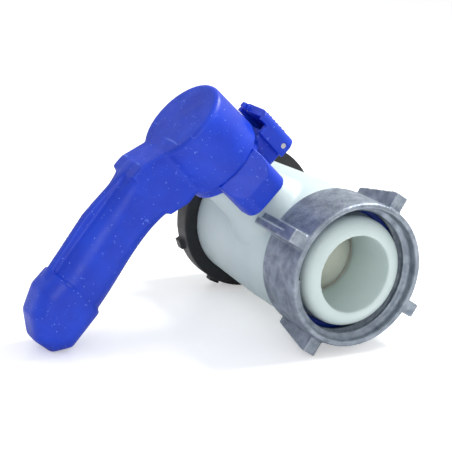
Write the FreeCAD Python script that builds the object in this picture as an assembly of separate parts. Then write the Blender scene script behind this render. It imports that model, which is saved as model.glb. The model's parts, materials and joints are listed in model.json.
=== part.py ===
"""Quarter-turn ball valve for a bulk liquid tank, built as separate pieces.

Every piece is drawn upright and then laid down as the loose valve rests on a floor.
Upright frame: +Y is the flow axis out of the tank nut, +Z is the stem, +X is the lever.
The origin is the centre of the tank nut's open face. All sizes are in millimetres.
"""
import FreeCAD, Part
import math
import os

V = FreeCAD.Vector
X, Y, Z = V(1, 0, 0), V(0, 1, 0), V(0, 0, 1)

# Fits
press_gap = 0.02        # pieces that are pushed home
slide_gap = 0.05        # shafts and rings that turn
loose_gap = 0.3         # faces that pass each other without touching

# Flow path, worked out from the thread of the tank nut inwards
nut_crest_r = 34.3
spigot_gap = 3.3
spigot_wall = 9.25
spigot_r = nut_crest_r - spigot_gap
nose_step = 0.9
nose_r = spigot_r + nose_step
bore_r = spigot_r - spigot_wall
ball_wall = 7.55
ball_r = bore_r + ball_wall
stem_y = -61.5
nose_y = -2.8
nose_round = 7.2

# Tank nut
nut_thread_depth = 3.8
nut_rim = 2.65
nut_mouth_r = nut_crest_r + nut_thread_depth
nut_r = nut_mouth_r + nut_rim
nut_len = 36.2
nut_mouth_len = 3.8
nut_back_wall = 4.4
nut_lug_count = 4
nut_lug_phase = 78.5
nut_lug_height = 8.95
nut_lug_reach = nut_r + nut_lug_height
nut_lug_width = 8.0
nut_lug_front = 2.5
nut_lug_block = 9.0
nut_lug_tail = 5.5
nut_lug_underside = 6.0
nut_lug_fall = 5.5
nut_rib_width = 4.2
nut_rib_height = 3.6

# Nut's retaining ring and gasket
snap_depth = 1.5
snap_thick = 4.0
snap_reach = nut_crest_r - 0.7
snap_split = 4.0
gasket_thick = 8.5
gasket_r = nut_crest_r - 0.3

# Body
chamber_gap = 2.5
drum_wall = 7.2
tail_wall = 5.2
chamber_r = ball_r + chamber_gap
drum_r = chamber_r + drum_wall
drum_flat = 20.0
body_shoulder_r = nose_r + 4.8
body_tail_r = chamber_r + tail_wall
body_back_y = -126.0
neck_r = 18.5
neck_height = 33.0
neck_top_z = drum_r + neck_height
neck_foot_r = 23.5
neck_foot_rise = 8.0
stop_rib_out = 2.6
stop_rib_width = 7.0
stop_rib_height = 9.0
stop_rib_angle = -45.0
lever_travel = 90.0

# Seats
seat_inset = 0.85
seat_width = 6.9
seat_back = 7.09
seat_in_r = bore_r + seat_inset
seat_out_r = seat_in_r + seat_width
seat_mid_r = seat_in_r + seat_width / 2
seat_y = stem_y + math.sqrt(ball_r ** 2 - seat_mid_r ** 2) + seat_back
energizer_r = 1.3

# Stem
stem_r = 9.0
stem_flange_r = 12.5
stem_flange_thick = 3.4
stem_tongue = 8.0
stem_tongue_depth = 6.0
stem_tongue_len = 24.0
stem_square = 13.0
stem_shaft_rise = 12.0
stem_square_len = 19.0
stem_shaft_top = neck_top_z + stem_shaft_rise
stem_top_z = stem_shaft_top + stem_square_len
stem_oring_r = 1.25
stem_oring_drops = (28.0, 18.0)
washer_thick = 1.5
top_washer_r = 16.5

# Lever
hub_rise = 7.0
hub_height = 33.5
hub_bottom_z = neck_top_z + hub_rise
hub_top_z = hub_bottom_z + hub_height
hub_top_r = 25.5
hub_bottom_r = 26.1
hub_wall = 3.4
hub_roof = 5.0
hub_edge = 1.6
boss_r = 12.4
boss_lift = 5.5
boss_bottom_z = hub_bottom_z + boss_lift
arm_half = 14.0
arm_root_lift = 6.0
arm_shoulder_x = 38.0
arm_crown = 5.0

# Claw under the hub
claw_drop = 23.5
claw_bottom_z = hub_bottom_z - claw_drop
claw_half = 14.0
claw_reach = 32.4
claw_slope = 12.0
claw_corner = 8.0
claw_ring_thick = 6.5
claw_plug_len = 5.0

# Lock latch
latch_reach = 35.8
latch_wall = 4.5
latch_cheek = 3.4
latch_depth = 12.0
latch_hub_room = 3.4
latch_rise = 3.0
latch_top_z = hub_bottom_z + latch_rise
latch_corner = 6.0
latch_ear = 4.5
latch_ear_height = 3.0
latch_tongue_half = 6.2
latch_recess = 4.0
latch_block_drop = 4.0
latch_pin_r = 1.5
latch_pin_inset = 7.0
latch_pin_lift = 5.0
latch_pin_x = -latch_reach + latch_pin_inset
latch_pin_z = claw_bottom_z + latch_pin_lift
latch_travel = 7.0

# Outlet
tail_flange_thick = 4.0
tail_bore_step = 1.0
tail_bore_r = bore_r - tail_bore_step
tail_relief = 1.5
tail_pipe_wall = 8.25
tail_thread_r = bore_r + tail_pipe_wall
tail_thread_len = 18.0
tail_oring_r = 1.3
tail_oring_y = -116.0
ring_wall = 7.9
ring_r = body_tail_r + ring_wall
ring_front_y = -120.5
ring_lip = 3.2
ring_lug_count = 8
ring_lug_phase = 26.0
ring_lug_height = 2.3
ring_lug_width = 6.5
ring_lug_len = 6.5

# Grip: place along the lever, drops of its top and bottom below the hub's top, half width, corner radius
grip_stations = (
    (38.0, -4.0, 27.0, 14.0, 5.0),
    (58.0, -1.8, 27.5, 13.8, 10.0),
    (82.0, 0.6, 31.5, 14.4, 12.0),
    (108.0, 4.2, 35.5, 15.2, 13.0),
)
rib_half = 3.0
rib_start_x = 34.0
rib_start_drop = -5.4
rib_end_drop = 0.8
rib_depth = 14.0
tip_x = 139.0
tip_start_x = 105.0
tip_half = 15.6
tip_fillet = 11.0
tip_top_drop = 1.6
tip_bottom_drop = 36.5
tip_chin = 10.0
tip_brow = 8.5


def disc(r, y0, y1):
    """Solid cylinder along the flow axis between two places."""
    return Part.makeCylinder(r, abs(y1 - y0), V(0, min(y0, y1), 0), Y)


def tube(r_out, r_in, y0, y1):
    return disc(r_out, y0, y1).cut(disc(r_in, y0, y1))


def post(r, z0, z1):
    """Solid cylinder along the stem."""
    return Part.makeCylinder(r, z1 - z0, V(0, stem_y, z0), Z)


def slab(x0, x1, y0, y1, z0, z1):
    return Part.makeBox(x1 - x0, y1 - y0, z1 - z0, V(x0, y0, z0))


def revolve_flow(points):
    """Turn an outline of (place along the flow, radius) round the flow axis."""
    wire = Part.makePolygon([V(0, y, r) for y, r in points] + [V(0, points[0][0], points[0][1])])
    return Part.Face(wire).revolve(V(0, 0, 0), Y, 360)


def revolve_stem(points):
    """Turn an outline of (radius, height) round the stem."""
    wire = Part.makePolygon([V(r, stem_y, z) for r, z in points] + [V(points[0][0], stem_y, points[0][1])])
    return Part.Face(wire).revolve(V(0, stem_y, 0), Z, 360)


def o_ring_flow(r_mid, r_small, y):
    return Part.makeTorus(r_mid, r_small, V(0, y, 0), Y)


def o_ring_stem(r_mid, r_small, z):
    return Part.makeTorus(r_mid, r_small, V(0, stem_y, z), Z)


def turned(shape, angle, centre=V(0, 0, 0), axis=Y):
    copy = shape.copy()
    copy.rotate(centre, axis, angle)
    return copy


def fuse_all(shapes):
    return shapes[0].multiFuse(shapes[1:]).removeSplitter()


def rounded_box(x0, x1, y0, y1, z0, z1, corner):
    """Upright block with its four vertical edges rounded."""
    block = slab(x0, x1, y0, y1, z0, z1)
    edges = [e for e in block.Edges if abs(e.tangentAt(e.FirstParameter).z) > 0.9]
    return block.makeFillet(corner, edges)


def around_stem(shape, angle):
    return turned(shape, angle, V(0, stem_y, 0), Z)


# Places that follow from the sizes above
nut_back_y = -nut_len
shoulder_y = nut_back_y + nut_back_wall
snap_y = shoulder_y + slide_gap
snap_groove_r = nose_r - snap_depth
gasket_back_y = snap_y + snap_thick + slide_gap
gasket_front_y = gasket_back_y + gasket_thick
seat_back_y = 2 * stem_y - seat_y
flange_top_z = ball_r + loose_gap * 2 + stem_flange_thick
flange_bottom_z = flange_top_z - stem_flange_thick
pocket_roof_z = flange_top_z + washer_thick + slide_gap * 2
claw_bore_r = neck_r + loose_gap
ring_back_y = body_back_y - tail_flange_thick - ring_lip
tail_mouth_y = stem_y - ball_r - 1.2
thread_start_y = ring_back_y - 1.0
thread_end_y = ring_back_y - tail_thread_len


def make_body():
    shoulder_front = nut_back_y - 0.6
    outline = [
        (nose_y, bore_r), (nose_y, spigot_r), (gasket_front_y, spigot_r), (gasket_front_y, nose_r),
        (shoulder_front, nose_r), (shoulder_front, body_shoulder_r),
        (stem_y + drum_flat / 2, drum_r), (stem_y - drum_flat / 2, drum_r),
        (ring_front_y + loose_gap, body_tail_r), (body_back_y, body_tail_r), (body_back_y, bore_r),
    ]
    body = revolve_flow(outline)
    rim = [e for e in body.Edges if abs(e.BoundBox.YMin - nose_y) < 0.01 and e.BoundBox.XMax > spigot_r - 0.1]
    body = body.makeFillet(nose_round, rim)
    foot = revolve_stem([(0, 0), (neck_foot_r, 0), (neck_foot_r, drum_r - 6), (neck_r, drum_r + neck_foot_rise),
                         (neck_r, neck_top_z), (0, neck_top_z)])
    rib = slab(neck_r - 1, neck_r + stop_rib_out, stem_y - stop_rib_width / 2, stem_y + stop_rib_width / 2,
               neck_top_z - stop_rib_height, neck_top_z)
    body = fuse_all([body, foot, around_stem(rib, stop_rib_angle)])
    chamber = disc(chamber_r, stem_y + 12, body_back_y - 1)
    pocket = disc(seat_out_r + slide_gap, seat_y, stem_y)
    port = disc(bore_r, nose_y + 1, body_back_y - 1)
    groove = tube(nose_r + 2, snap_groove_r, snap_y - press_gap, snap_y + snap_thick + press_gap)
    stem_hole = post(stem_r + slide_gap, 0, neck_top_z + 1)
    flange_hole = post(stem_flange_r + slide_gap, 0, pocket_roof_z)
    body = body.cut(chamber).cut(pocket).cut(port).cut(groove).cut(stem_hole).cut(flange_hole)
    return body


def make_tank_nut():
    outline = [
        (0, nut_mouth_r), (0, nut_r - 0.8), (-1.2, nut_r), (nut_back_y + 3.0, nut_r), (nut_back_y, nut_r - 2.2),
        (nut_back_y, nose_r + loose_gap), (shoulder_y, nose_r + loose_gap), (shoulder_y, nut_crest_r),
        (-nut_mouth_len, nut_crest_r),
    ]
    shell = revolve_flow(outline)
    lugs = []
    for n in range(nut_lug_count):
        angle = nut_lug_phase + n * 360.0 / nut_lug_count
        lug = nut_lug() if n % 2 == 0 else nut_short_lug()
        lugs.append(turned(lug, -angle))
    return fuse_all([shell] + lugs)


def nut_lug():
    """One wing of the nut, standing out along +X: a block at its front, then a rib on a wider flange."""
    low = nut_r - 1.2
    flange_top = nut_lug_reach - nut_rib_height
    under = nut_lug_reach - nut_lug_underside
    front, back, tail = -nut_lug_front, nut_back_y + 1.0, nut_back_y - nut_lug_tail
    block_end = front - nut_lug_block
    side = nut_lug_width / 2
    block = slab(low, nut_lug_reach, block_end, front, -side, side)
    rib = slab(low, nut_lug_reach, back, block_end, -side, nut_rib_width - side)
    flange = slab(low, flange_top, back, block_end, -side, side)
    rib_tail = slab(under, nut_lug_reach - 0.8, tail, back, -side, nut_rib_width - side)
    flange_tail = slab(under, flange_top, tail, back, -side, side)
    return fuse_all([block, rib, flange, rib_tail, flange_tail])


def nut_short_lug():
    """Wing between two long ones, whose crest falls away towards the back."""
    low, side = nut_r - 1.2, nut_lug_width / 2
    front, back = -nut_lug_front, nut_back_y + 1.0
    outline = [(low, front), (nut_lug_reach, front), (nut_lug_reach, front - 4),
               (nut_lug_reach - nut_lug_fall, back), (low, back)]
    points = [V(x, y, -side) for x, y in outline]
    return Part.Face(Part.makePolygon(points + [points[0]])).extrude(V(0, 0, 2 * side))


def make_nut_ring():
    ring = tube(snap_reach, snap_groove_r + press_gap, snap_y, snap_y + snap_thick)
    gap = slab(0, snap_reach + 1, snap_y - 1, snap_y + snap_thick + 1, -snap_split / 2, snap_split / 2)
    return ring.cut(gap)


def make_tank_gasket():
    return tube(gasket_r, nose_r + press_gap, gasket_back_y, gasket_back_y + gasket_thick)


def make_ball():
    ball = Part.makeSphere(ball_r, V(0, stem_y, 0))
    port = Part.makeCylinder(bore_r, 2 * ball_r + 2, V(-ball_r - 1, stem_y, 0), X)
    slot_half = stem_tongue / 2 + slide_gap
    slot = slab(-slot_half, slot_half, stem_y - ball_r, stem_y + ball_r,
                flange_bottom_z - stem_tongue_depth - loose_gap, ball_r + 1)
    return ball.cut(port).cut(slot)


def make_seat(front):
    """Ring that the ball turns against, with a groove behind it for its energizer."""
    ring = tube(seat_out_r, seat_in_r, seat_y, seat_y - seat_back)
    ring = ring.cut(Part.makeSphere(ball_r + slide_gap, V(0, stem_y, 0)))
    middle = (seat_out_r + seat_in_r) / 2
    groove = tube(middle + energizer_r, middle - energizer_r, seat_y + 1, seat_y - 2 * energizer_r)
    ring = ring.cut(groove)
    return ring if front else mirrored(ring)


def mirrored(shape):
    return shape.mirror(V(0, stem_y, 0), Y)


def make_energizer(front):
    middle = (seat_out_r + seat_in_r) / 2
    ring = o_ring_flow(middle, energizer_r, seat_y - energizer_r)
    return ring if front else mirrored(ring)


def make_stem():
    half = stem_tongue / 2
    tongue = slab(-half, half, stem_y - stem_tongue_len / 2, stem_y + stem_tongue_len / 2,
                  flange_bottom_z - stem_tongue_depth, flange_bottom_z + 0.5)
    tongue = tongue.common(post(stem_flange_r, 0, flange_top_z))
    side = stem_square / 2
    square = slab(-side, side, stem_y - side, stem_y + side, stem_shaft_top - 1, stem_top_z)
    stem = fuse_all([tongue, post(stem_flange_r, flange_bottom_z, flange_top_z),
                     post(stem_r, flange_bottom_z, stem_shaft_top), square])
    for z in [neck_top_z - drop for drop in stem_oring_drops]:
        groove = post(stem_r + 1, z - stem_oring_r, z + stem_oring_r).cut(
            post(stem_r - 2 * stem_oring_r, z - stem_oring_r, z + stem_oring_r))
        stem = stem.cut(groove)
    return stem


def make_stem_oring(z):
    return o_ring_stem(stem_r - stem_oring_r, stem_oring_r, z)


def make_thrust_washer():
    low = flange_top_z + slide_gap
    return post(stem_flange_r, low, low + washer_thick).cut(post(stem_r + slide_gap, low, low + washer_thick))


def make_top_washer():
    low = neck_top_z + slide_gap
    return post(top_washer_r, low, low + washer_thick).cut(post(stem_r + slide_gap, low, low + washer_thick))


def rounded_section(x, top, bottom, half, corner):
    """Rounded rectangle across the lever, as a closed wire."""
    y0, y1 = stem_y - half, stem_y + half
    c = corner
    k = c * (1 - math.sqrt(0.5))
    corners = (
        (V(x, y1 - c, top), V(x, y1 - k, top - k), V(x, y1, top - c)),
        (V(x, y1, bottom + c), V(x, y1 - k, bottom + k), V(x, y1 - c, bottom)),
        (V(x, y0 + c, bottom), V(x, y0 + k, bottom + k), V(x, y0, bottom + c)),
        (V(x, y0, top - c), V(x, y0 + k, top - k), V(x, y0 + c, top)),
    )
    edges = []
    for n, (a, b, c2) in enumerate(corners):
        edges.append(Part.Arc(a, b, c2).toShape())
        edges.append(Part.LineSegment(c2, corners[(n + 1) % 4][0]).toShape())
    return Part.Wire(edges)


def make_lever():
    hub = revolve_stem([(0, hub_bottom_z), (hub_bottom_r, hub_bottom_z), (hub_top_r, hub_top_z - hub_edge),
                        (hub_top_r - hub_edge, hub_top_z), (0, hub_top_z)])
    sections = [(x, hub_top_z - top, hub_top_z - bottom, half, corner)
                for x, top, bottom, half, corner in grip_stations]
    grip = Part.makeLoft([rounded_section(*s) for s in sections], True, False)
    lever = fuse_all([hub, grip, make_arm(sections[0]), make_rib(), make_tip()])
    cup_r = hub_bottom_r - hub_wall
    cup = post(cup_r, hub_bottom_z - 1, hub_top_z - hub_roof).cut(post(boss_r, boss_bottom_z, hub_top_z))
    side = stem_square / 2 + press_gap
    socket = slab(-side, side, stem_y - side, stem_y + side, boss_bottom_z - 1, stem_top_z + loose_gap)
    return lever.cut(cup).cut(socket)


def across_lever(outline, half):
    """Push a side outline of (x, z) out to both sides of the lever's middle plane."""
    points = [V(x, stem_y - half, z) for x, z in outline]
    return Part.Face(Part.makePolygon(points + [points[0]])).extrude(V(0, 2 * half, 0))


def make_arm(first):
    """Flat-sided arm from the hub to the first section of the grip."""
    crown = hub_top_z + arm_crown
    root = hub_top_z - 0.5
    shoulder = first[0] + 4
    outline = [(0, hub_bottom_z + arm_root_lift), (first[0] - 8, first[2] - 4), (shoulder, first[2]),
               (shoulder, crown), (arm_shoulder_x - 4, crown), (hub_top_r - 7, root), (0, root)]
    return across_lever(outline, arm_half)


def make_rib():
    """Narrow rib that stands proud along the top of the grip."""
    start, end = hub_top_z - rib_start_drop, hub_top_z - rib_end_drop
    outline = [(rib_start_x, start - rib_depth), (tip_start_x + 6, end - rib_depth), (tip_start_x + 6, end),
               (2 * rib_start_x + 4, start), (rib_start_x, start)]
    return across_lever(outline, rib_half)


def make_tip():
    """Bulb at the end of the grip, with a brow above and a deeper chin below."""
    top, bottom = hub_top_z - tip_top_drop, hub_top_z - tip_bottom_drop
    outline = [(tip_start_x, bottom), (tip_x - tip_chin, bottom - 1.5), (tip_x - 1, bottom + 6),
               (tip_x, (top + bottom) / 2), (tip_x - tip_brow, top - 6), (tip_start_x + 12, top),
               (tip_start_x, top)]
    block = across_lever(outline, tip_half)
    edges = [e for e in block.Edges if e.BoundBox.XMax > tip_start_x + 0.1]
    return block.makeFillet(tip_fillet, [e for e in edges if abs(e.tangentAt(e.FirstParameter).y) < 0.5])


def make_claw():
    """Ring and legs under the hub that turn with the lever round the body's neck."""
    cup_r = hub_bottom_r - hub_wall - slide_gap
    ring_low = hub_bottom_z - claw_ring_thick
    ring = post(cup_r, ring_low, hub_bottom_z + claw_plug_len)
    claw = fuse_all([ring, claw_leg(90), claw_leg(-90), latch_block()])
    claw = claw.cut(post(claw_bore_r, claw_bottom_z - 1, hub_bottom_z + claw_plug_len + 1))
    return claw.cut(stop_window())


def claw_leg(angle):
    """One leg with a sloped shoulder, drawn along +X and turned into place."""
    inner = claw_bore_r - 2
    block = rounded_box(inner - 6, claw_reach, stem_y - claw_half, stem_y + claw_half,
                        claw_bottom_z, hub_bottom_z, claw_corner)
    block = block.cut(slab(inner - 7, inner, stem_y - claw_half - 1, stem_y + claw_half + 1,
                           claw_bottom_z - 1, hub_bottom_z + 1))
    top_r = hub_bottom_r - hub_wall
    slope_z = hub_bottom_z - claw_slope
    wedge = across_lever([(top_r, hub_bottom_z + 0.01), (claw_reach + 0.01, slope_z), (claw_reach + 9, slope_z),
                          (claw_reach + 9, hub_bottom_z + 6), (top_r, hub_bottom_z + 6)], 2 * claw_half)
    return around_stem(block.cut(wedge), angle)


def latch_block():
    """Block opposite the lever that carries the latch on its pin, recessed behind the latch's plate."""
    face_x = -latch_reach + latch_wall + loose_gap
    top = hub_bottom_z - latch_block_drop
    low = claw_bottom_z + 1
    block_half = claw_half - latch_cheek - loose_gap
    block = slab(face_x, -claw_bore_r + 2, stem_y - block_half, stem_y + block_half, low, top)
    recess = slab(face_x - 1, face_x + latch_recess, stem_y - 2 * claw_half, stem_y + 2 * claw_half,
                  latch_pin_z + 2.5, top + 1)
    half = latch_tongue_half + loose_gap
    slot = slab(face_x - 1, latch_pin_x + 4, stem_y - half, stem_y + half, low - 1, latch_pin_z + 4)
    return block.cut(recess).cut(slot).cut(pin_hole(press_gap))


def pin_hole(gap):
    return Part.makeCylinder(latch_pin_r + gap, 4 * claw_half,
                             V(latch_pin_x, stem_y - 2 * claw_half, latch_pin_z), Y)


def stop_window():
    """Recess round the neck that lets the stop rib travel a quarter turn."""
    half = math.degrees(math.atan2(stop_rib_width / 2 + loose_gap, neck_r))
    start = stop_rib_angle - half
    sweep = lever_travel + 2 * half
    r_out = neck_r + stop_rib_out + loose_gap
    low = neck_top_z - stop_rib_height - loose_gap
    wedge = Part.makeCylinder(r_out, neck_top_z + loose_gap - low, V(0, stem_y, low), Z, sweep)
    return around_stem(wedge, start)


def make_latch():
    """Thumb latch: a hood round its block, with a tongue on the pin and an ear at one top corner."""
    low = claw_bottom_z + 1
    inner_half = claw_half - latch_cheek
    hood = rounded_box(-latch_reach, 0, stem_y - claw_half, stem_y + claw_half, low, latch_top_z, latch_corner)
    hood = hood.cut(slab(-latch_reach + latch_depth, 1, stem_y - 2 * claw_half, stem_y + 2 * claw_half,
                         low - 1, latch_top_z + 1))
    hood = hood.cut(slab(-latch_reach + latch_wall, 1, stem_y - inner_half, stem_y + inner_half,
                         low - 1, latch_top_z + 1))
    plate = hood.cut(slab(-hub_bottom_r - latch_hub_room, 1, stem_y - 2 * claw_half, stem_y + 2 * claw_half,
                          hub_bottom_z - 2, latch_top_z + 1))
    tongue = slab(-latch_reach + latch_wall - 1, latch_pin_x + 3, stem_y - latch_tongue_half,
                  stem_y + latch_tongue_half, latch_pin_z - 3, latch_pin_z + 3)
    ear_y = stem_y - claw_half + latch_corner - 2
    ear = slab(-latch_reach + 1.5, -latch_reach + latch_wall, ear_y, ear_y + latch_ear,
               latch_top_z - 1, latch_top_z + latch_ear_height)
    return fuse_all([plate, tongue, ear]).cut(pin_hole(slide_gap))


def make_latch_pin():
    length = 2 * claw_half - 1
    return Part.makeCylinder(latch_pin_r, length, V(latch_pin_x, stem_y - length / 2, latch_pin_z), Y)


def make_tail():
    neck_end_y = body_back_y - tail_flange_thick
    outline = [
        (seat_back_y, seat_in_r), (seat_back_y, chamber_r - slide_gap), (body_back_y, chamber_r - slide_gap),
        (body_back_y, body_tail_r - 0.5), (neck_end_y, body_tail_r - 0.5), (neck_end_y, tail_thread_r - tail_relief),
        (thread_start_y, tail_thread_r - tail_relief), (thread_start_y, tail_thread_r),
        (thread_end_y + 2, tail_thread_r), (thread_end_y, tail_thread_r - 2), (thread_end_y, tail_bore_r),
        (tail_mouth_y, tail_bore_r), (tail_mouth_y, seat_in_r),
    ]
    tail = revolve_flow(outline)
    r_out = chamber_r - slide_gap
    groove = tube(r_out + 1, r_out - 2 * tail_oring_r, tail_oring_y - tail_oring_r, tail_oring_y + tail_oring_r)
    return tail.cut(groove)


def make_tail_oring():
    return o_ring_flow(chamber_r - slide_gap - tail_oring_r, tail_oring_r, tail_oring_y)


def make_ring_nut():
    inside = body_tail_r + slide_gap
    lip_y = body_back_y - tail_flange_thick - slide_gap
    outline = [
        (ring_front_y, inside), (ring_front_y, ring_r - 0.6), (ring_front_y - 0.6, ring_r),
        (ring_back_y + 0.6, ring_r), (ring_back_y, ring_r - 0.6), (ring_back_y, tail_thread_r + loose_gap),
        (lip_y, tail_thread_r + loose_gap), (lip_y, inside),
    ]
    lugs = []
    for n in range(ring_lug_count):
        half = ring_lug_width / 2
        lug = slab(ring_r - 2, ring_r + ring_lug_height, ring_back_y, ring_back_y + ring_lug_len, -half, half)
        lugs.append(turned(lug, -(ring_lug_phase + n * 360.0 / ring_lug_count)))
    return fuse_all([revolve_flow(outline)] + lugs)


pieces = {
    "body": make_body(),
    "tank_nut": make_tank_nut(),
    "nut_retaining_ring": make_nut_ring(),
    "tank_gasket": make_tank_gasket(),
    "ball": make_ball(),
    "seat_front": make_seat(True),
    "seat_rear": make_seat(False),
    "seat_energizer_front": make_energizer(True),
    "seat_energizer_rear": make_energizer(False),
    "stem": make_stem(),
    "stem_oring_lower": make_stem_oring(neck_top_z - stem_oring_drops[0]),
    "stem_oring_upper": make_stem_oring(neck_top_z - stem_oring_drops[1]),
    "thrust_washer": make_thrust_washer(),
    "top_washer": make_top_washer(),
    "lever": make_lever(),
    "lever_claw": make_claw(),
    "lock_latch": make_latch(),
    "latch_pin": make_latch_pin(),
    "outlet_tail": make_tail(),
    "tail_oring": make_tail_oring(),
    "ring_nut": make_ring_nut(),
}



def lowest(shape, angle):
    """Lowest point of a piece once it is turned about the flow axis."""
    return min(point.z for point in turned(shape, angle).tessellate(0.1)[0])


def lay_angle():
    """Turn about the flow axis that stands the lever's chin on the floor that the ring nut stands on."""
    low, high = 30.0, 60.0
    while high - low > 0.01:
        middle = (low + high) / 2
        if lowest(pieces["lever"], middle) > lowest(pieces["ring_nut"], middle):
            low = middle
        else:
            high = middle
    return round((low + high) / 2, 3)


os.makedirs("parts", exist_ok=True)
angle = lay_angle()
print("laid down by", angle, "degrees about the flow axis")
for name, shape in pieces.items():
    solid = turned(shape, angle)
    print(name, "solids", len(solid.Solids), "valid", solid.isValid(), "volume", round(solid.Volume))
    solid.exportStep("parts/" + name + ".step")
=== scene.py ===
import bpy
import json
import math
from mathutils import Matrix, Vector


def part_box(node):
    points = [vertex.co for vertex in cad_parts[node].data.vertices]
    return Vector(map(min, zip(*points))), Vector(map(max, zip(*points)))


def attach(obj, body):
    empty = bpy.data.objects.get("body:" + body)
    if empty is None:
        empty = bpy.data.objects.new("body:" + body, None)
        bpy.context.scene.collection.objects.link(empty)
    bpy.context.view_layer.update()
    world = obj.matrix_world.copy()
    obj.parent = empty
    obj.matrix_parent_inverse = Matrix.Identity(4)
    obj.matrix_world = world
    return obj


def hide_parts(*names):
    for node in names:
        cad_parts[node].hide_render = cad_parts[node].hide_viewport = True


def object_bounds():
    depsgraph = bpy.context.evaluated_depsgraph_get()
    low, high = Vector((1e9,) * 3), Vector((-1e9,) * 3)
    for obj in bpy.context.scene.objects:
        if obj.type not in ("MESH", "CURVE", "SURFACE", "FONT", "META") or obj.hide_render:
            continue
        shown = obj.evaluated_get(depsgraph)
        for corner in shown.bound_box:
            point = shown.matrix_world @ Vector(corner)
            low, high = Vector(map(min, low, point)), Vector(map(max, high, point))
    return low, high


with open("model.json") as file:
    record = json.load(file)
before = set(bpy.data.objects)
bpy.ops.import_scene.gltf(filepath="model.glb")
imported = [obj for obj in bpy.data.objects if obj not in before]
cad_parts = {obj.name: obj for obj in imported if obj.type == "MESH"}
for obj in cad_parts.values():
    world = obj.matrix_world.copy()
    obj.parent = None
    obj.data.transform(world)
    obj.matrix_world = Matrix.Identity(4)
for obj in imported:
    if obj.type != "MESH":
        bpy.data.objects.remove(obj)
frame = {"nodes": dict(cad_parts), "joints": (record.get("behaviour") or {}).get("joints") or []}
cadLow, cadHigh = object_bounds()

mm = 0.001
joints = {j["name"]: j for j in frame["joints"]}
stem = -Vector(joints["lever_turn"]["axis"]).normalized()
flow = Vector((0, 1, 0))
across = flow.cross(stem).normalized()
upright = Matrix((across, flow, stem)).transposed()  # the valve stands on its flow axis in this frame
stemY = joints["lever_turn"]["pos_m"][1] / mm

# The camera's place and directions, in the upright frame
camera = {
    "lens": 103.54,
    "place": (105.73, 548.27, 431.21),
    "right": (-0.6486, 0.4671, -0.6010),
    "down": (0.7526, 0.2756, -0.5980),
    "ahead": (-0.1137, -0.8402, -0.5303),
}


def makeCamera(c):
    data = bpy.data.cameras.new("studio_camera")
    data.lens = c["lens"]
    data.sensor_width = 36
    cam = bpy.data.objects.new("studio_camera", data)
    bpy.context.scene.collection.objects.link(cam)
    right = upright @ Vector(c["right"])
    up = -(upright @ Vector(c["down"]))
    back = -(upright @ Vector(c["ahead"]))
    turn = Matrix((right, up, back)).transposed().to_4x4()
    cam.matrix_world = Matrix.Translation(upright @ (Vector(c["place"]) * mm)) @ turn
    data.clip_start, data.clip_end = 0.01, 20
    bpy.context.scene.camera = cam


makeCamera(camera)
print("camera made")


# Modelling helpers
def pick(piece):
    bpy.ops.object.select_all(action="DESELECT")
    piece.select_set(True)
    bpy.context.view_layer.objects.active = piece


def editAll(piece):
    pick(piece)
    bpy.ops.object.mode_set(mode="EDIT")
    bpy.ops.mesh.select_all(action="SELECT")


def leaveEdit():
    bpy.ops.object.mode_set(mode="OBJECT")


def finishModifiers(piece):
    pick(piece)
    for modifier in list(piece.modifiers):
        bpy.ops.object.modifier_apply(modifier=modifier.name)


def copyNode(node, name):
    piece = bpy.data.objects.new(name, frame["nodes"][node].data.copy())
    bpy.context.scene.collection.objects.link(piece)
    piece.data.materials.clear()
    editAll(piece)
    bpy.ops.mesh.remove_doubles(threshold=0.000001)
    bpy.ops.mesh.normals_make_consistent(inside=False)
    leaveEdit()
    return piece


def layDown(piece):
    pick(piece)
    bpy.ops.object.transform_apply(location=True, rotation=True, scale=True)
    piece.data.transform(upright.to_4x4())


def joinTo(piece, parts):
    pick(piece)
    for part in parts:
        part.select_set(True)
    bpy.ops.object.join()


# One closed skin with softened edges, as a mould or a casting leaves it
def mouldSkin(piece, s):
    remesh = piece.modifiers.new("skin", "REMESH")
    remesh.mode = "VOXEL"
    remesh.voxel_size = s["voxel"] * mm
    finishModifiers(piece)
    smooth = piece.modifiers.new("soften", "SMOOTH")
    smooth.factor = 0.5
    smooth.iterations = s["rounds"]
    finishModifiers(piece)
    pick(piece)
    bpy.ops.object.shade_smooth()


def cutAway(piece, cutter):
    cut = piece.modifiers.new("cut", "BOOLEAN")
    cut.operation = "DIFFERENCE"
    cut.object = cutter
    cut.solver = "EXACT"
    finishModifiers(piece)
    bpy.data.objects.remove(cutter, do_unlink=True)


def flowDrum(name, radius, y0, y1, sides=96):
    bpy.ops.object.select_all(action="DESELECT")
    bpy.ops.mesh.primitive_cylinder_add(vertices=sides, radius=radius * mm, depth=abs(y1 - y0) * mm,
                                        location=(0, (y0 + y1) / 2 * mm, 0), rotation=(math.pi / 2, 0, 0))
    drum = bpy.context.object
    drum.name = name
    bpy.ops.object.transform_apply(location=True, rotation=True, scale=True)
    return drum


def block(name, low, high, bevel):
    size = [h - l for l, h in zip(low, high)]
    bpy.ops.object.select_all(action="DESELECT")
    bpy.ops.mesh.primitive_cube_add(size=mm)
    piece = bpy.context.object
    piece.name = name
    piece.scale = size
    piece.location = [(l + h) / 2 * mm for l, h in zip(low, high)]
    bpy.ops.object.transform_apply(location=True, rotation=True, scale=True)
    editAll(piece)
    bpy.ops.mesh.bevel(offset=bevel * mm, segments=2, affect="EDGES")
    leaveEdit()
    return piece


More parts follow.
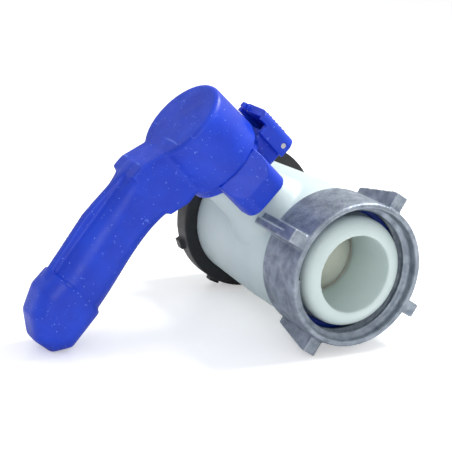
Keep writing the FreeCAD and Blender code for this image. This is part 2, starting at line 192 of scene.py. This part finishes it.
def ringOf(name, points, steps=160):
    # points are (radius, place along the flow), the outline of the ring's section
    bpy.ops.object.select_all(action="DESELECT")
    bpy.ops.mesh.primitive_circle_add(vertices=len(points), radius=mm, fill_type="NOTHING")
    piece = bpy.context.object
    piece.name = name
    for vertex, (r, y) in zip(piece.data.vertices, points):
        vertex.co = (r * mm, y * mm, 0)
    editAll(piece)
    bpy.ops.mesh.spin(steps=steps, angle=2 * math.pi, center=(0, 0, 0), axis=(0, 1, 0))
    bpy.ops.mesh.select_all(action="SELECT")
    bpy.ops.mesh.remove_doubles(threshold=0.00001)
    bpy.ops.mesh.normals_make_consistent(inside=False)
    leaveEdit()
    return piece


def threadRidge(name, t):
    bpy.ops.object.select_all(action="DESELECT")
    bpy.ops.mesh.primitive_circle_add(vertices=4, radius=mm, fill_type="NOTHING")
    ridge = bpy.context.object
    ridge.name = name
    half, top = t["foot"] / 2, t["land"] / 2
    for vertex, (r, y) in zip(ridge.data.vertices,
                              ((t["root"], -half), (t["crest"], -top), (t["crest"], top), (t["root"], half))):
        vertex.co = (r * mm, (t["start"] + y) * mm, 0)
    screw = ridge.modifiers.new("screw", "SCREW")
    screw.axis = "Y"
    screw.angle = 2 * math.pi * t["turns"]
    screw.screw_offset = -t["pitch"] * t["turns"] * mm
    screw.steps = screw.render_steps = int(90 * t["turns"])
    finishModifiers(ridge)
    editAll(ridge)
    bpy.ops.mesh.select_all(action="DESELECT")
    bpy.ops.mesh.select_non_manifold()
    bpy.ops.mesh.edge_face_add()
    bpy.ops.mesh.select_all(action="SELECT")
    bpy.ops.mesh.normals_make_consistent(inside=False)
    leaveEdit()
    return ridge


# Finishes: random tone, specks and scratches, and an option that paints a highlight on convex edges and shade in
# hollows
def finish(name, f):
    material = bpy.data.materials.new(name)
    material.use_nodes = True
    nodes, links = material.node_tree.nodes, material.node_tree.links
    shader = nodes["Principled BSDF"]
    where = nodes.new("ShaderNodeTexCoord").outputs["Object"]

    def noise(scale, detail=4.0, rough=0.55, stretch=None):
        node = nodes.new("ShaderNodeTexNoise")
        node.inputs["Scale"].default_value = scale
        node.inputs["Detail"].default_value = detail
        node.inputs["Roughness"].default_value = rough
        source = where
        if stretch:
            mapping = nodes.new("ShaderNodeMapping")
            mapping.inputs["Scale"].default_value = stretch
            links.new(where, mapping.inputs["Vector"])
            source = mapping.outputs["Vector"]
        links.new(source, node.inputs["Vector"])
        return node.outputs["Fac"]

    def spread(value, low, high, out0=0.0, out1=1.0):
        node = nodes.new("ShaderNodeMapRange")
        node.inputs["From Min"].default_value = low
        node.inputs["From Max"].default_value = high
        node.inputs["To Min"].default_value = out0
        node.inputs["To Max"].default_value = out1
        links.new(value, node.inputs["Value"])
        return node.outputs["Result"]

    def blend(factor, a, b):
        node = nodes.new("ShaderNodeMix")
        node.data_type = "RGBA"
        links.new(factor, node.inputs["Factor"])
        for socket, value in ((node.inputs[6], a), (node.inputs[7], b)):
            if isinstance(value, tuple):
                socket.default_value = (*value, 1)
            else:
                links.new(value, socket)
        return node.outputs[2]

    color = blend(spread(noise(f["cloud"]), 0.32, 0.68), f["dark"], f["light"])
    if "speck" in f:
        s = f["speck"]
        mask = spread(noise(s["scale"], 2.0, 0.5), s["from"], s["from"] + 0.03, 0, s["amount"])
        color = blend(mask, color, s["color"])
    if "scratch" in f:
        s = f["scratch"]
        mask = spread(noise(s["scale"], 3.0, 0.6, s["stretch"]), s["from"], s["from"] + 0.06, 0, s["amount"])
        color = blend(mask, color, s["color"])
    if "paintedEdgeLightAndHollowShade" in f:
        # painted highlight: lighter colour on convex edges, where light catches
        geometry = nodes.new("ShaderNodeNewGeometry")
        mask = spread(geometry.outputs["Pointiness"], 0.52, 0.60, 0, f["paintedEdgeLightAndHollowShade"]["amount"])
        color = blend(mask, color, f["paintedEdgeLightAndHollowShade"]["color"])
        # painted shade: darker colour in hollows, creases and recesses
        paintedHollowShade = spread(geometry.outputs["Pointiness"], 0.48, 0.40, 0, f["paintedEdgeLightAndHollowShade"]["amount"])
        color = blend(paintedHollowShade, color, f["paintedEdgeLightAndHollowShade"]["paintedHollowShade"])
    links.new(color, shader.inputs["Base Color"])
    links.new(spread(noise(f["cloud"] * 3), 0.3, 0.7, *f["rough"]), shader.inputs["Roughness"])
    shader.inputs["Metallic"].default_value = f.get("metal", 0.0)
    shader.inputs["IOR"].default_value = f.get("ior", 1.5)
    if "milk" in f:
        shader.inputs["Subsurface Weight"].default_value = f["milk"]
        shader.inputs["Subsurface Radius"].default_value = (1.0, 1.0, 0.9)
        shader.inputs["Subsurface Scale"].default_value = 0.004
    height = noise(f["grain"], 5.0, 0.6)
    if "lump" in f:
        mixed = nodes.new("ShaderNodeMath")
        mixed.operation = "MULTIPLY_ADD"
        links.new(noise(f["lump"], 2.0, 0.5), mixed.inputs[0])
        mixed.inputs[1].default_value = f["lumpShare"]
        links.new(height, mixed.inputs[2])
        height = mixed.outputs[0]
    bump = nodes.new("ShaderNodeBump")
    bump.inputs["Strength"].default_value = f["bump"]
    bump.inputs["Distance"].default_value = f.get("depth", 0.2) * mm
    links.new(height, bump.inputs["Height"])
    links.new(bump.outputs["Normal"], shader.inputs["Normal"])
    return material


leverBlue = finish("lever_blue", {
    "light": (0.006, 0.055, 0.66), "dark": (0.003, 0.034, 0.50), "cloud": 45, "rough": (0.34, 0.5),
    "grain": 1400, "bump": 0.14, "ior": 1.46,
    "scratch": {"scale": 260, "stretch": (1, 0.12, 1), "from": 0.66, "amount": 0.5, "color": (0.12, 0.24, 0.90)},
    "speck": {"scale": 620, "from": 0.70, "amount": 0.6, "color": (0.22, 0.36, 0.92)},
    # painted highlight: lighter blue on the lever's convex edges; painted shade: darker blue in its hollows
    "paintedEdgeLightAndHollowShade": {"amount": 0.45, "color": (0.035, 0.14, 0.95), "paintedHollowShade": (0.002, 0.018, 0.33)},
})
bodyPale = finish("body_pale", {
    "light": (0.66, 0.76, 0.75), "dark": (0.60, 0.71, 0.70), "cloud": 30, "rough": (0.34, 0.5),
    "grain": 900, "bump": 0.08, "ior": 1.5, "milk": 0.25,
    "speck": {"scale": 420, "from": 0.75, "amount": 0.4, "color": (0.42, 0.46, 0.44)},
})
castMetal = finish("cast_metal", {
    "light": (0.40, 0.45, 0.52), "dark": (0.20, 0.235, 0.29), "cloud": 150, "rough": (0.34, 0.56),
    "grain": 800, "bump": 0.9, "depth": 0.5, "metal": 0.75, "lump": 160, "lumpShare": 1.2,
    "speck": {"scale": 520, "from": 0.70, "amount": 0.55, "color": (0.16, 0.18, 0.22)},
    # painted highlight: pale metal on convex edges; painted shade: darker metal in hollows
    "paintedEdgeLightAndHollowShade": {"amount": 0.5, "color": (0.72, 0.76, 0.82), "paintedHollowShade": (0.14, 0.17, 0.22)},
})
gasketBlue = finish("gasket_blue", {
    "light": (0.004, 0.045, 0.42), "dark": (0.002, 0.03, 0.30), "cloud": 90, "rough": (0.45, 0.6),
    "grain": 1100, "bump": 0.15,
})
ringBlack = finish("ring_black", {
    "light": (0.016, 0.017, 0.02), "dark": (0.008, 0.008, 0.010), "cloud": 80, "rough": (0.38, 0.55),
    "grain": 900, "bump": 0.2,
    "scratch": {"scale": 300, "stretch": (1, 0.15, 1), "from": 0.72, "amount": 0.3, "color": (0.06, 0.06, 0.07)},
})
ballCream = finish("ball_cream", {
    "light": (0.72, 0.72, 0.62), "dark": (0.66, 0.66, 0.56), "cloud": 60, "rough": (0.28, 0.4),
    "grain": 900, "bump": 0.05,
})
seatWhite = finish("seat_white", {
    "light": (0.80, 0.80, 0.77), "dark": (0.74, 0.74, 0.71), "cloud": 80, "rough": (0.45, 0.55),
    "grain": 900, "bump": 0.05,
})
sealBlack = finish("seal_black", {
    "light": (0.025, 0.025, 0.026), "dark": (0.014, 0.014, 0.015), "cloud": 120, "rough": (0.5, 0.65),
    "grain": 1200, "bump": 0.12,
})
pinSteel = finish("pin_steel", {
    "light": (0.62, 0.62, 0.63), "dark": (0.48, 0.48, 0.50), "cloud": 200, "rough": (0.28, 0.4),
    "grain": 2000, "bump": 0.1, "metal": 1.0,
})
snapGrey = finish("snap_grey", {
    "light": (0.06, 0.06, 0.065), "dark": (0.04, 0.04, 0.045), "cloud": 100, "rough": (0.4, 0.5),
    "grain": 900, "bump": 0.1,
})
print("finishes made")


def settle(piece, material, body, slot, *nodes):
    piece.data.materials.clear()
    piece.data.materials.append(material)
    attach(piece, body)
    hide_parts(*nodes)


# Lever, claw and latch
leverSizes = {"voxel": 0.8, "rounds": 14}
lever = copyNode("lever", "lever_shell")
mouldSkin(lever, leverSizes)
settle(lever, leverBlue, "lever_assembly", "lever_plastic", "lever")

clawSizes = {"voxel": 0.5, "rounds": 5}
claw = copyNode("lever_claw", "claw_shell")
mouldSkin(claw, clawSizes)
settle(claw, leverBlue, "lever_assembly", "lever_plastic", "lever_claw")

latchSizes = {
    "voxel": 0.45, "rounds": 3, "reach": 35.8, "lowest": 62.5,
    "ribs": 6, "ribWidth": 1.3, "ribPitch": 2.9, "ribHalf": 8, "ribFoot": 3, "ribRound": 0.3, "out": 0.7,
}
latch = copyNode("lock_latch", "thumb_latch")
l = latchSizes
latchRibs = []
for n in range(l["ribs"]):
    height = l["lowest"] + n * l["ribPitch"]
    rib = block("latch_rib", (-l["reach"] - l["out"], stemY - l["ribHalf"], height),
                (-l["reach"] + l["ribFoot"], stemY + l["ribHalf"], height + l["ribWidth"]), l["ribRound"])
    layDown(rib)
    latchRibs.append(rib)
joinTo(latch, latchRibs)
mouldSkin(latch, latchSizes)
settle(latch, leverBlue, "latch", "lever_plastic", "lock_latch")
print("lever made")

# Tank nut with its thread, and the gasket in it
nutSizes = {"voxel": 0.7, "rounds": 4, "root": 37.6, "cutFrom": 1, "cutTo": -29.6}
nutThread = {"root": 38.4, "crest": 34.3, "pitch": 7.0, "turns": 2.1, "start": -4.6, "foot": 4.4, "land": 1.5}
nut = copyNode("tank_nut", "cast_nut")
cutAway(nut, flowDrum("nut_bore", nutSizes["root"], nutSizes["cutFrom"], nutSizes["cutTo"]))
joinTo(nut, [threadRidge("nut_thread", nutThread)])
mouldSkin(nut, nutSizes)
settle(nut, castMetal, "swivel_nut", "nut_metal", "tank_nut")

gasketSizes = {"inside": 31.95, "outside": 37.1, "front": -19.0, "back": -28.6, "round": 1.2, "sharp": 35}
g = gasketSizes
gasket = ringOf("nut_gasket", [
    (g["inside"], g["back"]), (g["outside"], g["back"]), (g["outside"], g["front"] - g["round"]),
    (g["outside"] - 0.4 * g["round"], g["front"] - 0.3 * g["round"]), (g["outside"] - g["round"], g["front"]),
    (g["inside"] + g["round"], g["front"]), (g["inside"] + 0.3 * g["round"], g["front"] - 0.3 * g["round"]),
    (g["inside"], g["front"] - g["round"]),
])
pick(gasket)
bpy.ops.object.shade_smooth_by_angle(angle=math.radians(g["sharp"]))
settle(gasket, gasketBlue, "valve_body", "gasket_rubber", "tank_gasket")
print("nut made")

# Body, outlet and its ring
bodySizes = {"voxel": 1.0, "rounds": 4}
body = copyNode("body", "body_shell")
mouldSkin(body, bodySizes)
settle(body, bodyPale, "valve_body", "body_plastic", "body")

tailSizes = {"voxel": 0.8, "rounds": 3, "thread": 30.0, "root": 28.2, "threadLen": 17}
t = tailSizes
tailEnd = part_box("outlet_tail")[0].y / mm
outletThread = {
    "root": 27.6, "crest": 30.0, "pitch": 6.0, "turns": 2.2, "start": tailEnd + 15.0, "foot": 4.0, "land": 1.6,
}
tail = copyNode("outlet_tail", "outlet_spout")
groove = flowDrum("thread_groove", t["thread"] + 3, tailEnd - 1, tailEnd + t["threadLen"])
core = flowDrum("thread_core", t["root"], tailEnd - 2, tailEnd + t["threadLen"] + 1)
cutAway(groove, core)
cutAway(tail, groove)
joinTo(tail, [threadRidge("outlet_thread", outletThread)])
mouldSkin(tail, tailSizes)
settle(tail, bodyPale, "valve_body", "body_plastic", "outlet_tail")

ringSizes = {"voxel": 0.6, "rounds": 3}
ring = copyNode("ring_nut", "outlet_ring")
mouldSkin(ring, ringSizes)
settle(ring, ringBlack, "valve_body", "ring_plastic", "ring_nut")
print("body made")

# Pieces that keep their own solids
kept = {
    "ball": ballCream, "stem": ballCream, "seat_front": seatWhite, "seat_rear": seatWhite,
    "thrust_washer": seatWhite, "top_washer": seatWhite, "seat_energizer_front": sealBlack,
    "seat_energizer_rear": sealBlack, "stem_oring_lower": sealBlack, "stem_oring_upper": sealBlack,
    "tail_oring": sealBlack, "latch_pin": pinSteel, "nut_retaining_ring": snapGrey,
}
for node, material in kept.items():
    data = frame["nodes"][node].data
    data.materials.clear()
    data.materials.append(material)

# Floor and light
bpy.ops.object.select_all(action="DESELECT")
studio = {"floor": 6, "floorGlow": 0.40, "sky": 0.62, "skyTint": (0.97, 0.985, 1, 1), "aim": (0.05, -0.06, 0)}
bpy.ops.mesh.primitive_plane_add(size=studio["floor"], location=(0, 0, cadLow.z))
floor = bpy.context.object
floor.name = "studio_floor"
floor.data.materials.append(finish("floor_white", {
    "light": (0.93, 0.93, 0.93), "dark": (0.92, 0.92, 0.92), "cloud": 2, "rough": (0.30, 0.36),
    "grain": 40, "bump": 0.0,
}))
floorNodes = floor.active_material.node_tree
seen = floorNodes.nodes.new("ShaderNodeLightPath")
glow = floorNodes.nodes.new("ShaderNodeMath")
glow.operation = "MULTIPLY"
glow.inputs[1].default_value = studio["floorGlow"]
floorNodes.links.new(seen.outputs["Is Camera Ray"], glow.inputs[0])
floorShader = floorNodes.nodes["Principled BSDF"]
floorShader.inputs["Emission Color"].default_value = (1, 1, 1, 1)
floorNodes.links.new(glow.outputs["Value"], floorShader.inputs["Emission Strength"])

world = bpy.data.worlds.new("studio")
bpy.context.scene.world = world
world.use_nodes = True
tree = world.node_tree
sky = tree.nodes["Background"]
sky.inputs["Color"].default_value = studio["skyTint"]
sky.inputs["Strength"].default_value = studio["sky"]
backdrop = tree.nodes.new("ShaderNodeBackground")
backdrop.inputs["Color"].default_value = (1, 1, 1, 1)
ways = tree.nodes.new("ShaderNodeLightPath")
chooser = tree.nodes.new("ShaderNodeMixShader")
tree.links.new(ways.outputs["Is Camera Ray"], chooser.inputs["Fac"])
tree.links.new(sky.outputs["Background"], chooser.inputs[1])
tree.links.new(backdrop.outputs["Background"], chooser.inputs[2])
tree.links.new(chooser.outputs["Shader"], tree.nodes["World Output"].inputs["Surface"])

lamps = (
    {"name": "key_lamp", "place": (-0.60, -0.10, 0.85), "energy": 11, "size": 0.35},
    {"name": "fill_lamp", "place": (0.7, 0.9, 0.6), "energy": 4, "size": 0.8},
)
for lamp in lamps:
    bpy.ops.object.light_add(type="AREA", location=lamp["place"])
    light = bpy.context.object
    light.name = lamp["name"]
    light.data.energy = lamp["energy"]
    light.data.size = lamp["size"]
    light.rotation_euler = (Vector(studio["aim"]) - light.location).to_track_quat("-Z", "Y").to_euler()
bpy.context.scene.view_settings.view_transform = "Standard"
print("studio made")
